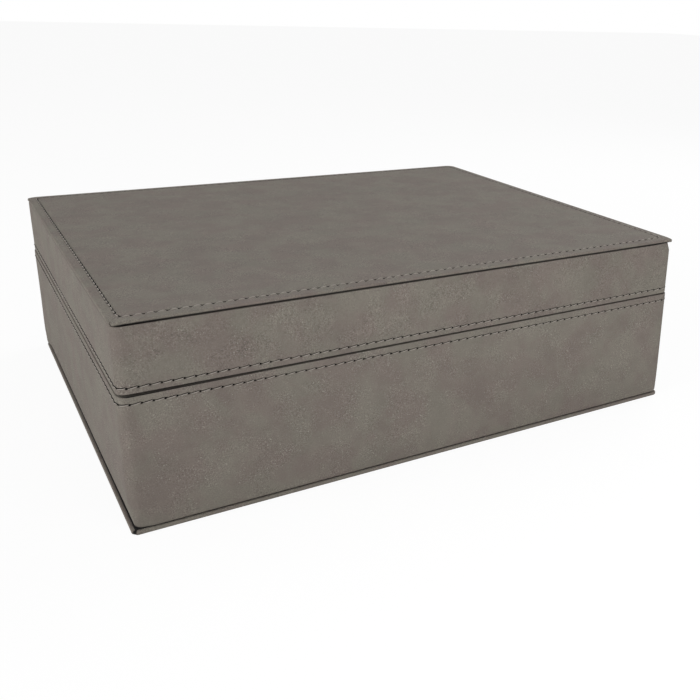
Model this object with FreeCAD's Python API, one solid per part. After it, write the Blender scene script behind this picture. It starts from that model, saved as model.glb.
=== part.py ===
"""Gift box with a hinged lid: wooden walls and thin boards wrapped in leatherette."""
import FreeCAD, Part
import os

V = FreeCAD.Vector

# Whole box: X runs along the long front, the front faces -Y, Z = 0 is the table
overall_width = 305.0
overall_depth = 253.0
overall_height = 98.3
parting_height = 65.85
rim_gap = 0.5

# Leatherette and the cores that it is wrapped round
leather_thickness = 0.6
wall_core_thickness = 7.0
wall_core_corner_radius = 3.8
core_rim_radius = 1.1
core_inner_rim_radius = 0.4
core_shoulder_radius = 0.8
turn_in_depth = 12.0

# Top and bottom boards
lid_board_core_thickness = 0.5
base_board_core_thickness = 0.9
board_core_corner_radius = 1.6
board_core_edge_share = 0.4
board_overhang = 0.2

# Lining panels and pads
lining_thickness = 1.5
lining_drop = 2.0
base_pad_thickness = 3.0
lid_pad_thickness = 2.5

# Sewn rows: a thread lies in a pressed groove, flush with the leatherette
thread_width = 0.7
thread_depth = 0.3
base_row_offset = 4.05
lid_row_offset = 3.15
board_row_side_inset = 4.4
board_row_front_inset = 5.9
board_row_back_inset = 4.4
board_row_corner_radius = 3.0

# Two pin hinges let into the back rims
hinge_end_distance = 57.5
hinge_length = 30.0
leaf_depth = 6.0
leaf_thickness = 0.9
leaf_gap = 0.3
barrel_radius = 1.1
pin_radius = 0.55
pin_clearance = 0.05
knuckle_gap = 0.2
end_knuckle_share = 0.3
hinge_fit = 0.1
barrel_clearance = 0.25

# Hinge screws
screw_spacing = 18.0
screw_shank_radius = 0.8
screw_head_radius = 1.6
screw_length = 8.0
screw_tip_length = 1.5
screw_slot_width = 0.35
screw_slot_depth = 0.3

# Closing magnets, hidden in the front rims
magnet_end_distance = 72.5
magnet_length = 20.0
magnet_width = 4.0
magnet_height = 2.0

# Reach of a cut past the face that it opens, and the closeness of two equal heights
overrun = 2.0
match_tolerance = 1e-6

# Sizes that follow
half_width = overall_width / 2
half_depth = overall_depth / 2
wall_half_width = half_width - board_overhang
wall_half_depth = half_depth - board_overhang
core_half_width = wall_half_width - leather_thickness
core_half_depth = wall_half_depth - leather_thickness
inner_half_width = core_half_width - wall_core_thickness
inner_half_depth = core_half_depth - wall_core_thickness
turned_half_width = inner_half_width - leather_thickness
turned_half_depth = inner_half_depth - leather_thickness
room_half_width = turned_half_width - lining_thickness
room_half_depth = turned_half_depth - lining_thickness
base_board_thickness = base_board_core_thickness + 2 * leather_thickness
lid_board_thickness = lid_board_core_thickness + 2 * leather_thickness
base_wall_height = parting_height - rim_gap / 2 - base_board_thickness
lid_wall_height = overall_height - lid_board_thickness - parting_height - rim_gap / 2
pivot_y = wall_half_depth + board_overhang - barrel_radius
hinge_offset = half_width - hinge_end_distance
magnet_offset = half_width - magnet_end_distance
hinge_places = {"left": -hinge_offset, "right": hinge_offset}


def slab(half_x, y_low, y_high, z_low, z_high):
    """Block centred on X = 0."""
    corner = V(-half_x, y_low, z_low)
    return Part.makeBox(2 * half_x, y_high - y_low, z_high - z_low, corner)


def even_slab(half_x, half_y, z_low, z_high):
    """Block centred on the Z axis."""
    return slab(half_x, -half_y, half_y, z_low, z_high)


def upright_edges(shape):
    """Straight edges that run along Z."""
    found = []
    for edge in shape.Edges:
        first, last = edge.Vertexes[0].Point, edge.Vertexes[-1].Point
        if abs(first.z - last.z) > match_tolerance:
            found.append(edge)
    return found


def edges_at(shape, height):
    """Edges that lie at one height."""
    return [edge for edge in shape.Edges
            if all(abs(vertex.Z - height) < match_tolerance for vertex in edge.Vertexes)]


def rounded_block(block, corner_radius):
    """Block with its upright edges rounded."""
    return block.makeFillet(corner_radius, upright_edges(block))


def soften(shape, radius, height):
    """Shape with the edges at one height rounded."""
    return shape.makeFillet(radius, edges_at(shape, height))


def ring_wall(outer_half_x, outer_half_y, inner_half_x, inner_half_y, z_low, z_high,
              corner_radius, shoulder_radius, rim_radius, inner_rim_radius):
    """Four walls in one ring: shoulder rounded at the low end, rim rounded at the high end."""
    ring = rounded_block(even_slab(outer_half_x, outer_half_y, z_low, z_high), corner_radius)
    ring = soften(ring, shoulder_radius, z_low)
    ring = soften(ring, rim_radius, z_high)
    hollow = even_slab(inner_half_x, inner_half_y, z_low - overrun, z_high + overrun)
    ring = ring.cut(hollow)
    inside = [edge for edge in edges_at(ring, z_high)
              if abs(edge.CenterOfMass.x) < inner_half_x + match_tolerance
              and abs(edge.CenterOfMass.y) < inner_half_y + match_tolerance]
    return ring.makeFillet(inner_rim_radius, inside)


def core_ring(wall_height):
    """Wooden walls before they are parted, standing in the fold of their leatherette."""
    return ring_wall(core_half_width, core_half_depth, inner_half_width, inner_half_depth,
                     leather_thickness, wall_height - leather_thickness,
                     wall_core_corner_radius, core_shoulder_radius,
                     core_rim_radius, core_inner_rim_radius)


def wall_wrap(wall_height):
    """Leatherette round the walls, folded under them and over their rim."""
    skin = ring_wall(wall_half_width, wall_half_depth, turned_half_width, turned_half_depth,
                     0, wall_height,
                     wall_core_corner_radius + leather_thickness,
                     core_shoulder_radius + leather_thickness,
                     core_rim_radius + leather_thickness,
                     core_inner_rim_radius + leather_thickness)
    below_turn_in = even_slab(inner_half_width, inner_half_depth, -overrun,
                              wall_height - turn_in_depth)
    return skin.cut([core_ring(wall_height), below_turn_in])


def wall_cores(wall_height):
    """The four wooden walls: front and back run the full length, the sides fit between."""
    ring = core_ring(wall_height)
    reach = half_depth + overrun
    front = ring.common(slab(half_width, -reach, -inner_half_depth, 0, wall_height))
    back = ring.common(slab(half_width, inner_half_depth, reach, 0, wall_height))
    between = ring.common(slab(half_width, -inner_half_depth, inner_half_depth, 0, wall_height))
    sides = sorted(between.Solids, key=lambda solid: solid.CenterOfMass.x)
    return {"front": front, "back": back, "left": sides[0], "right": sides[1]}


def lining_panels(wall_height):
    """Lining boards inside the walls, ending a little below the rim."""
    top = wall_height - lining_drop
    panels = {}
    for name, side in (("front", -1), ("back", 1)):
        edges = sorted((side * room_half_depth, side * turned_half_depth))
        panels[name] = slab(turned_half_width, edges[0], edges[1], 0, top)
    for name, place in (("left", -turned_half_width), ("right", room_half_width)):
        panels[name] = Part.makeBox(lining_thickness, 2 * room_half_depth, top,
                                    V(place, -room_half_depth, 0))
    return panels


def board_core(core_thickness):
    """Stiff board inside a wrapped panel. Its outer face is the low one."""
    edge_radius = board_core_edge_share * core_thickness
    low = leather_thickness
    high = low + core_thickness
    block = even_slab(half_width - leather_thickness, half_depth - leather_thickness, low, high)
    block = rounded_block(block, board_core_corner_radius)
    return soften(soften(block, edge_radius, low), edge_radius, high)


def board_wrap(core_thickness):
    """Leatherette round a board, turned in under the walls and open in the room."""
    thickness = core_thickness + 2 * leather_thickness
    edge_radius = board_core_edge_share * core_thickness + leather_thickness
    block = even_slab(half_width, half_depth, 0, thickness)
    block = rounded_block(block, board_core_corner_radius + leather_thickness)
    block = soften(soften(block, edge_radius, 0), edge_radius, thickness)
    window = even_slab(room_half_width, room_half_depth, core_thickness + leather_thickness,
                       thickness + overrun)
    return block.cut([board_core(core_thickness), window])


def room_pad(core_thickness, pad_thickness):
    """Soft pad on the board, filling the floor of the room."""
    low = core_thickness + leather_thickness
    return even_slab(room_half_width, room_half_depth, low, low + pad_thickness)


def wall_thread(height):
    """Sewn row round the walls, at a height above the boards."""
    low = height - thread_width / 2
    high = height + thread_width / 2
    radius = wall_core_corner_radius + leather_thickness
    outer = rounded_block(even_slab(wall_half_width, wall_half_depth, low, high), radius)
    inner = even_slab(wall_half_width - thread_depth, wall_half_depth - thread_depth,
                      low - overrun, high + overrun)
    return outer.cut(rounded_block(inner, radius - thread_depth))


def board_thread():
    """Sewn row near the edge of the top board. Its outer face is the low one."""
    half_line = thread_width / 2
    blocks = []
    for grow, reach in ((half_line, 0), (-half_line, overrun)):
        block = slab(half_width - board_row_side_inset + grow,
                     board_row_front_inset - half_depth - grow,
                     half_depth - board_row_back_inset + grow,
                     -reach, thread_depth + reach)
        blocks.append(rounded_block(block, board_row_corner_radius + grow))
    return blocks[0].cut(blocks[1])


def pivot_rod(radius, x_low, x_high):
    """Cylinder on the hinge axis."""
    return Part.makeCylinder(radius, x_high - x_low, V(x_low, pivot_y, parting_height), V(1, 0, 0))


def knuckle_spans(place):
    """Spans along X of the two base knuckles and of the lid knuckle between them."""
    low = place - hinge_length / 2
    high = place + hinge_length / 2
    end = end_knuckle_share * hinge_length
    return [(low, low + end), (high - end, high)], [(low + end, high - end)]


def leaf_plate(place):
    """Plate of a base leaf, its top just under the parting height."""
    top = parting_height - leaf_gap / 2
    return Part.makeBox(hinge_length, leaf_depth, leaf_thickness,
                        V(place - hinge_length / 2, pivot_y - leaf_depth, top - leaf_thickness))


def screw_places(place):
    """X places of the screws of one leaf."""
    return [place - screw_spacing / 2, place + screw_spacing / 2]


def screw_body(x_place):
    """Countersunk screw of a base leaf, without its slot, pointing down."""
    y_place = pivot_y - leaf_depth / 2
    top = parting_height - leaf_gap / 2
    down = V(0, 0, -1)
    under_head = top - leaf_thickness
    head = Part.makeCone(screw_head_radius, screw_shank_radius, leaf_thickness,
                         V(x_place, y_place, top), down)
    shank = Part.makeCylinder(screw_shank_radius, screw_length - screw_tip_length,
                              V(x_place, y_place, under_head), down)
    tip = Part.makeCone(screw_shank_radius, 0, screw_tip_length,
                        V(x_place, y_place, under_head - screw_length + screw_tip_length), down)
    return head.fuse([shank, tip]).removeSplitter()


def screw(x_place):
    """Countersunk screw with a slot across its head."""
    top = parting_height - leaf_gap / 2
    slot = Part.makeBox(2 * screw_head_radius + 2 * overrun, screw_slot_width,
                        screw_slot_depth + overrun,
                        V(x_place - screw_head_radius - overrun,
                          pivot_y - leaf_depth / 2 - screw_slot_width / 2,
                          top - screw_slot_depth))
    return screw_body(x_place).cut(slot)


def flipped(shape):
    """Mirror image across the parting height, which turns base hinge parts into lid ones."""
    return shape.mirror(V(0, 0, parting_height), V(0, 0, 1))


def hinge_leaf(place, own_spans, other_spans, bore_radius, plate, screws):
    """Leaf with its knuckles, clear of the other leaf's knuckles, drilled for pin and screws."""
    own = [pivot_rod(barrel_radius, low, high) for low, high in own_spans]
    clear = [pivot_rod(barrel_radius + knuckle_gap, low, high) for low, high in other_spans]
    bore = pivot_rod(bore_radius, place - hinge_length, place + hinge_length)
    return plate.cut(clear).fuse(own).cut([bore] + screws).removeSplitter()


def base_leaf(place):
    """Hinge leaf of the base, with the two end knuckles that hold the pin."""
    own, other = knuckle_spans(place)
    screws = [screw_body(x_place) for x_place in screw_places(place)]
    return hinge_leaf(place, own, other, pin_radius, leaf_plate(place), screws)


def lid_leaf(place):
    """Hinge leaf of the lid, with the middle knuckle that turns on the pin."""
    other, own = knuckle_spans(place)
    narrow = [(low + knuckle_gap, high - knuckle_gap) for low, high in own]
    wide = [(low - knuckle_gap, high + knuckle_gap) for low, high in other]
    screws = [flipped(screw_body(x_place)) for x_place in screw_places(place)]
    return hinge_leaf(place, narrow, wide, pin_radius + pin_clearance,
                      flipped(leaf_plate(place)), screws)


def hinge_pin(place):
    """Pin, held by the end knuckles."""
    return pivot_rod(pin_radius, place - hinge_length / 2, place + hinge_length / 2)


def hinge_recess(place):
    """Space that a base leaf, its barrel and its screws take from the back wall."""
    half_length = hinge_length / 2 + hinge_fit
    y_low = pivot_y - leaf_depth - hinge_fit
    z_low = parting_height - leaf_gap / 2 - leaf_thickness
    mortise = Part.makeBox(2 * half_length, half_depth + overrun - y_low,
                           parting_height - z_low,
                           V(place - half_length, y_low, z_low))
    barrel = pivot_rod(barrel_radius + barrel_clearance, place - half_length,
                       place + half_length)
    screws = [screw_body(x_place) for x_place in screw_places(place)]
    return mortise.fuse([barrel] + screws)


def magnet_pair(wall_height):
    """Two bar magnets just under the leatherette of the front rim."""
    top = wall_height - leather_thickness
    y_middle = -core_half_depth + wall_core_thickness / 2
    bars = [Part.makeBox(magnet_length, magnet_width, magnet_height,
                         V(side * magnet_offset - magnet_length / 2,
                           y_middle - magnet_width / 2, top - magnet_height))
            for side in (-1, 1)]
    return Part.makeCompound(bars)


def base_place(shape):
    """Move a wall, lining or magnet up onto the bottom board."""
    return shape.translated(V(0, 0, base_board_thickness))


def lid_place(shape):
    """Turn a wall, lining or magnet over and hang it under the top board."""
    turned_over = shape.mirror(V(0, 0, 0), V(0, 0, 1))
    return turned_over.translated(V(0, 0, overall_height - lid_board_thickness))


def lid_board_place(shape):
    """Turn a board over, so that its outer face is the top of the box."""
    return shape.mirror(V(0, 0, 0), V(0, 0, 1)).translated(V(0, 0, overall_height))


def walled_side(name, place_on, wall_height, recesses, row_height):
    """Walls, wrap, sewn row, lining and magnets of the base or of the lid."""
    pieces = {}
    magnets = place_on(magnet_pair(wall_height))
    row = place_on(wall_thread(row_height))
    for side, core in wall_cores(wall_height).items():
        cuts = {"front": [magnets], "back": recesses}.get(side)
        core = place_on(core)
        pieces[f"{name}_{side}_wall"] = core.cut(cuts) if cuts else core
    pieces[f"{name}_wall_wrap"] = place_on(wall_wrap(wall_height)).cut(recesses + [row])
    pieces[f"{name}_wall_stitching"] = row
    for side, panel in lining_panels(wall_height).items():
        pieces[f"{name}_{side}_lining"] = place_on(panel)
    pieces[f"{name}_magnets"] = magnets
    return pieces


def base_pieces():
    """Everything that stays on the table."""
    recesses = [hinge_recess(place) for place in hinge_places.values()]
    row_height = parting_height - base_row_offset - base_board_thickness
    pieces = walled_side("base", base_place, base_wall_height, recesses, row_height)
    pieces["base_board"] = board_core(base_board_core_thickness)
    pieces["base_board_wrap"] = board_wrap(base_board_core_thickness)
    pieces["base_floor_pad"] = room_pad(base_board_core_thickness, base_pad_thickness)
    return pieces


def lid_pieces():
    """Everything that swings up."""
    recesses = [flipped(hinge_recess(place)) for place in hinge_places.values()]
    row_height = overall_height - lid_board_thickness - parting_height - lid_row_offset
    pieces = walled_side("lid", lid_place, lid_wall_height, recesses, row_height)
    row = lid_board_place(board_thread())
    pieces["lid_board"] = lid_board_place(board_core(lid_board_core_thickness))
    pieces["lid_board_wrap"] = lid_board_place(board_wrap(lid_board_core_thickness)).cut(row)
    pieces["lid_board_stitching"] = row
    pieces["lid_ceiling_pad"] = lid_board_place(room_pad(lid_board_core_thickness,
                                                         lid_pad_thickness))
    return pieces


def hinge_pieces():
    """Leaves, pins and screws of both hinges."""
    pieces = {}
    base_screws, lid_screws = [], []
    for name, place in hinge_places.items():
        pieces[f"{name}_hinge_base_leaf"] = base_leaf(place)
        pieces[f"{name}_hinge_lid_leaf"] = lid_leaf(place)
        pieces[f"{name}_hinge_pin"] = hinge_pin(place)
        screws = [screw(x_place) for x_place in screw_places(place)]
        base_screws += screws
        lid_screws += [flipped(one) for one in screws]
    pieces["base_hinge_screws"] = Part.makeCompound(base_screws)
    pieces["lid_hinge_screws"] = Part.makeCompound(lid_screws)
    return pieces


def main():
    os.makedirs("parts", exist_ok=True)
    pieces = {**base_pieces(), **lid_pieces(), **hinge_pieces()}
    for name, shape in pieces.items():
        shape.exportStep(f"parts/{name}.step")
        solids = len(shape.Solids)
        print(f"{name}: {solids} solids, {shape.Volume:.1f} mm3, valid {shape.isValid()}")


main()
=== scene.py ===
"""Looks of a hinged gift box: leatherette covers, sewn rows, linings, pads and finishes."""
import math

import bmesh
import bpy
import numpy as np
from mathutils import Matrix, Vector


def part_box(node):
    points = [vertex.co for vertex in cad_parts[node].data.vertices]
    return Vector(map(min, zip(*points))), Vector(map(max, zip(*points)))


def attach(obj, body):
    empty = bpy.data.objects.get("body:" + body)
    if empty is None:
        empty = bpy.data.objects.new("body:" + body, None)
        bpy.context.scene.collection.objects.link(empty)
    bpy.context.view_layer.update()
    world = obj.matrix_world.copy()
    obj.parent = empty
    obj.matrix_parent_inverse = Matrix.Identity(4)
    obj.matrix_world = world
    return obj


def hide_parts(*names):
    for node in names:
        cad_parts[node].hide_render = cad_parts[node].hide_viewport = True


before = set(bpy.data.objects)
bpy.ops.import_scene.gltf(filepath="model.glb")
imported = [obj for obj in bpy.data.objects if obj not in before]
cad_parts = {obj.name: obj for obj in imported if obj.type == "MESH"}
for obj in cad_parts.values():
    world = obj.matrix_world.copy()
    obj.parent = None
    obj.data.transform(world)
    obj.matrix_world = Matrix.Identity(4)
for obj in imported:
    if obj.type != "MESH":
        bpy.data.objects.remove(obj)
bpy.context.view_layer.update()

bl_info = {
    "name": "Leatherette Gift Box",
    "version": (1, 0, 0),
    "blender": (4, 5, 0),
    "location": "3D View > Sidebar > Gift Box",
    "description": "Covers, sewn rows, linings, pads and finishes of a hinged gift box",
    "category": "Add Mesh",
}

MERGE_DISTANCE = 2e-6
MM = 0.001
UP = (0.0, 0.0, 1.0)
STILL = (0, 0)

# Columns of points: how many for a stitch, how far apart on a board, how many at a corner.
COLUMNS_PER_STITCH = 5
BOARD_COLUMN = 0.9 * MM
CORNER_COLUMNS = 24

# Ramp behind a lip as a share of its reach, how far a face looks back where its rim is
# rounded, the length over which the gap's wider opening and painted shade fade, and the
# width of the painted shade round holes and of the darkening along mitres and joints.
LIP_RAMP = 0.3
BACK_START = 0.6
WEAR_AND_SHADE_FADE = 75 * MM
SEAM_MARK = 0.5 * MM

# Points of a stitch, where its strand comes up and how much of it shows, and the corner
# and the width of the row on the top.
STITCH_POINTS = 10
STRAND_START, STRAND_SHARE = 0.07, 0.86
ROW_CORNER, ROW_WIDTH = 3 * MM, 0.7 * MM

# Axis and direction in which the lining of each wall looks into the room.
SIDES = {"front": (1, 1), "back": (1, -1), "left": (0, 1), "right": (0, -1)}

# Walls whose outer foot is pared back, and how far each cover's pattern is shifted.
PARED_SIDES = {"base": ("front", "left"), "lid": ("front", "right")}
PATTERN_SHIFTS = {"base_walls": (0.0, 0.0, 0.0), "lid_walls": (0.37, 0.11, 0.23),
                  "top": (0.05, 0.41, 0.0), "bottom": (0.21, 0.0, 0.33)}

# Depth, width, slant and painted shade of each corner fold, from the back right corner on.
FOLDS = {"lid": ((0.8, 1, 0, 0.5), (0.7, 1, 0, 0.4), (1, 1, 1.4, 0.85), (0.5, 1, 0, 0.2)),
         "base": ((0.8, 1, 0, 0.5), (0.7, 1, 0, 0.4), (0.35, 4, 0.5, 1), (0.5, 1, 0, 0.2))}

# Depths in millimetres of the rings of points on the flat of a board cover. They lie
# close together under the sewn row of the top.
RINGS = {"lid": (112, 98, 84, 71, 59, 48, 38, 30, 23, 17.5, 13.5, 11, 9.6,
                 *np.arange(8.6, 2.4, -0.4), 2.0, 1.5),
         "base": (90, 50, 20, 8, 3)}

# Place in the room, facing and fill of each pad.
PADS = {"base": ("floor", 1, 0.4), "lid": ("ceiling", -1, 0.35)}

CLOTH = {"quality": 5, "mass": 0.25, "tension_stiffness": 20, "compression_stiffness": 20,
         "shear_stiffness": 10, "bending_stiffness": 2, "use_pressure": True,
         "uniform_pressure_force": 4}
CLOTH_MOMENTS = 20

ROW_INPUTS = {
    "Float": ("Width", "Depth", "Corner", "First hole", "Stand-off", "Thread", "Rise", "Dip",
              "Slant", "Crease", "Left crease", "Hole length", "Hole width", "Unevenness"),
    "Vector": ("Centre",), "Int": ("Stitches",), "Bool": ("On the board",),
    "Material": ("Thread finish", "Hole finish")}

# Place, point looked at and side length of each lamp.
MIDDLE = (0.0, 0.0, 0.05)
LAMPS = {"side_lamp": ((-1.28, -0.23, 0.57), MIDDLE, 0.7),
         "front_lamp": ((0.06, -0.56, 0.24), (0.06, -0.1, 0.05), 0.4),
         "back_lamp": ((0.78, 0.27, 0.83), MIDDLE, 0.7)}
FLOOR_REACH = 6.0
FLOOR_SHADE = 1.35


def amount(name, description, default, **kind):
    """Setting for a number."""
    return bpy.props.FloatProperty(name=name, description=description, default=default,
                                   **kind)


def length(name, description, default):
    """Setting for a length."""
    return amount(name, description, default, unit="LENGTH")


def tint(name, description, default):
    """Setting for a colour."""
    return bpy.props.FloatVectorProperty(name=name, description=description,
                                         default=default, subtype="COLOR")


class CoverSizes(bpy.types.PropertyGroup):
    """Roundings and folds of the leatherette."""

    wall_corner: length("Wall corner", "Radius of the upright corners of the walls", 0.0044)
    base_rim: length("Base rim", "Radius where the base wall turns over its rim", 0.00032)
    lid_rim: length("Lid rim", "Radius where the lid wall turns under its rim", 0.00028)
    wall_inner_rim: length("Inner rim", "Radius where the rim turns down into the room", 0.001)
    base_shoulder: length(
        "Base shoulder", "Radius where the base wall meets its board", 0.0019)
    lid_shoulder: length("Lid shoulder", "Radius where the lid wall meets its board", 0.0005)
    base_fullness: length(
        "Base fullness", "How far the base cover stands full over its walls", 0.0005)
    lid_fullness: length(
        "Lid fullness", "How far the lid cover stands full over its walls", 0.00014)
    turn_in: length("Turn-in", "How far the cover reaches down inside the rim", 0.012)
    base_board_corner: length("Bottom corner", "Corner radius of the bottom board", 0.0028)
    board_corner: length("Board corner", "Radius of the upright corners of the boards", 0.0022)
    lid_board_edge: length(
        "Lid board edge", "Radius of the long edges of the top board", 0.0008)
    base_board_edge: length(
        "Base board edge", "Radius of the long edges of the bottom board", 0.00096)
    hidden_edge: length("Hidden edge", "Radius of the board edges that face the walls", 0.0006)
    base_lip: length("Base lip", "How far the outer lip of the base rim stands back", 0.00005)
    lid_lip: length("Lid lip", "How far the outer lip of the lid rim stands back", 0.00003)
    worn_lip: length(
        "Worn lip", "How much further a lip stands back at a front corner", 0.00042)
    front_lip: length(
        "Front lip", "How much further the base lip stands back in front", -0.0002)
    base_foot: length(
        "Base foot", "How far the base wall stands off the bottom board", 0.00012)
    lid_foot: length("Lid foot", "How far the lid wall stands off the top board", 0.0004)
    # The three crease sizes set where painted shade lies at the joints of walls and boards.
    base_crease: length(
        "Base crease", "Height of the dark crease above the bottom board", 0.00046)
    lid_crease: length("Lid crease", "Height of the dark crease below the top board", 0.0003)
    board_crease: length(
        "Board crease", "How far the crease reaches up the top board's edge", 0.0005)
    foot_draw: length(
        "Foot draw", "How far the base cover is drawn in at its left foot", 0.0017)
    back_rim: length(
        "Back rim", "Outer radius of both rims at the back, where the lid turns", 0.0017)
    tip_draw: length(
        "Tip draw", "How far the lid cover is drawn in under its front right tip", 0.0014)
    corner_bulge: length(
        "Corner bulge", "How far the base cover stands out at its back left foot", 0.0005)
    left_lip: length("Left lip", "How far each rim closes up along the left side", 0.00014)
    lip_reach: length("Lip reach", "How far in from the face the lips stand back", 0.0032)
    waviness: length("Waviness", "Height of the slow waves in the stretched cover", 0.00006)
    fold_depth: length(
        "Fold depth", "Depth of the folds at the corners of the boards", 0.00052)
    fold_width: length("Fold width", "Half width of a corner fold", 0.00028)
    tip_droop: length("Tip droop", "How far the corners of the top board bend down", 0.00035)


class SeamSizes(bpy.types.PropertyGroup):
    """Sewn rows and how they draw the leatherette in."""

    base_pitch: length(
        "Base stitch", "Distance between the needle holes of the base row", 0.00477)
    lid_pitch: length(
        "Lid stitch", "Distance between the needle holes of the lid row", 0.00467)
    board_pitch: length(
        "Board stitch", "Distance between the needle holes of the top row", 0.00472)
    base_hole: length(
        "Base hole", "Where a needle hole of the base row lies in front", -0.0001)
    lid_hole: length("Lid hole", "Where a needle hole of the lid row lies in front", 0.0009)
    thread: length("Thread", "Diameter of the thread", 0.0004)
    rise: length("Stitch rise", "Height of a stitch above the pressed groove", 0.0001)
    dip: length("Stitch dip", "How deep the thread goes down at a needle hole", 0.0005)
    slant: length("Stitch slant", "Sideways shift of a stitch from end to end", 0.0007)
    board_slant: length(
        "Slant on the board", "How far a strand on top runs across its row", 0.0004)
    # The crease is a near-black tube beside each strand, a painted shadow; the needle holes
    # are near-black beads, painted shade.
    left_crease: amount("Left crease", "How much wider the pressed line is on the left", 1.0)
    crease: length("Thread crease", "Width of the dark crease beside a stitch", 0.00027)
    hole_length: length("Needle hole", "Length of a needle hole along the row", 0.00125)
    hole_width: length("Needle hole width", "Width of a needle hole across the row", 0.00102)
    groove: length("Groove", "Depth of the line that the thread presses in", 0.00002)
    pinch: length("Pinch", "Extra depth of the leatherette at a needle hole", 0.00042)
    pucker: length("Pucker", "Height of the leatherette between needle holes", 0.00009)
    roll: length("Rolled edge", "Swell of the strip between a sewn row and the edge", 0.00005)


class SoftSizes(bpy.types.PropertyGroup):
    """Lining panels and pads."""

    edge: length("Panel edge", "Radius of the covered edges of a lining panel", 0.0006)
    panel_swell: length("Panel swell", "How far a lining panel swells into the room", 0.0003)
    pad_edge: length("Pad edge", "Radius of the pulled-in edge of a pad", 0.0014)
    pad_swell: length("Pad swell", "Most that the middle of a pad may rise", 0.0014)
    pad_gap: length("Pad gap", "Gap between a pad and the lining round it", 0.0003)
    pad_cell: length("Pad cell", "Mesh size of a pad while it is blown up", 0.008)


class Finishes(bpy.types.PropertyGroup):
    """Colours of the box."""

    leather: tint("Leatherette", "Warm grey ground of the leatherette", (0.186, 0.158, 0.139))
    leather_cloud: tint(
        "Leatherette clouds", "Greener, greyer patches of the leatherette",
        (0.198, 0.181, 0.153))
    leather_fleck: tint(
        "Leatherette flecks", "Pale nap flecks of the leatherette", (0.33, 0.31, 0.275))
    thread: tint("Thread", "Colour of the sewing thread", (0.29, 0.262, 0.23))
    # Near-black used for painted shade in needle holes, beside the threads, in creases, folds
    # and the parting gap, and to darken the mitres and the back joint.
    needle_hole: tint(
        "Needle holes", "Colour inside needle holes and deep creases", (0.0035, 0.003, 0.0028))
    lining: tint("Lining", "Colour of the velour lining and pads", (0.030, 0.029, 0.030))
    fibreboard: tint("Fibreboard", "Colour of the bare wall cores", (0.45, 0.33, 0.21))
    greyboard: tint(
        "Grey board", "Colour of the bare top and bottom boards", (0.35, 0.32, 0.28))
    nickel: tint("Nickel", "Colour of the hinges, screws and magnets", (0.55, 0.54, 0.52))


class StageSettings(bpy.types.PropertyGroup):
    """Camera, lamps and floor."""

    camera_place: bpy.props.FloatVectorProperty(
        name="Camera place", description="Where the camera stands",
        default=(-0.205484, -0.477398, 0.223163), subtype="XYZ")
    camera_azimuth: amount(
        "Azimuth", "Turn of the camera about the box", math.radians(-33.594), unit="ROTATION")
    camera_elevation: amount(
        "Elevation", "How far the camera looks down", math.radians(19.263), unit="ROTATION")
    camera_roll: amount(
        "Roll", "Tilt of the camera about its line of sight",
        math.radians(2.194), unit="ROTATION")
    lens: amount(
        "Lens", "Focal length of the camera in millimetres", 45.047, subtype="DISTANCE_CAMERA")
    shift_x: amount("Shift X", "Sideways shift of the picture", -0.20039)
    shift_y: amount("Shift Y", "Upward shift of the picture", -0.05977)
    sky_light: amount("Sky light", "Strength of the even light from all sides", 0.25)
    side_lamp: amount("Side lamp", "Power of the soft lamp at the left", 10.2, unit="POWER")
    front_lamp: amount("Front lamp", "Power of the soft lamp in front", 1.24, unit="POWER")
    back_lamp: amount(
        "Back lamp", "Power of the soft lamp behind at the right", 4.72, unit="POWER")
    floor_colour: tint("Floor", "Colour of the pale floor", (0.86, 0.86, 0.86))
    floor_lift: amount(
        "Floor lift", "How much of the white the floor shows by itself",
        0.93, subtype="FACTOR")


def span(node):
    """Low and high corners of a CAD node."""
    low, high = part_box(node)
    return np.array(low), np.array(high)


def link(thing):
    """Add an object to the scene."""
    bpy.context.scene.collection.objects.link(thing)
    return thing


def mesh_object(name, vertices, faces):
    """Object made of points and faces."""
    mesh = bpy.data.meshes.new(name)
    mesh.from_pydata(vertices, [], faces)
    return link(bpy.data.objects.new(name, mesh))


def closed_and_outward(thing):
    """Merge doubled points, drop empty faces and turn every face outwards."""
    work = bmesh.new()
    work.from_mesh(thing.data)
    bmesh.ops.remove_doubles(work, verts=work.verts, dist=MERGE_DISTANCE)
    bmesh.ops.dissolve_degenerate(work, edges=work.edges, dist=MERGE_DISTANCE / 2)
    bmesh.ops.recalc_face_normals(work, faces=work.faces)
    for face in work.faces:
        face.smooth = True
    work.to_mesh(thing.data)
    work.free()
    thing.data.update()
    return thing


def as_evaluated(thing):
    """Keep the shape that the object's modifiers give, without the modifiers."""
    graph = bpy.context.evaluated_depsgraph_get()
    mesh = bpy.data.meshes.new_from_object(thing.evaluated_get(graph), depsgraph=graph)
    thing.modifiers.clear()
    thing.data = mesh
    mesh.name = thing.name
    return thing


def finish_piece(thing, body, material, nodes):
    """Give a piece its finish and body, and hide the CAD nodes it stands for."""
    thing.data.materials.clear()
    thing.data.materials.append(material)
    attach(thing, body)
    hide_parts(*nodes)


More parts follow.
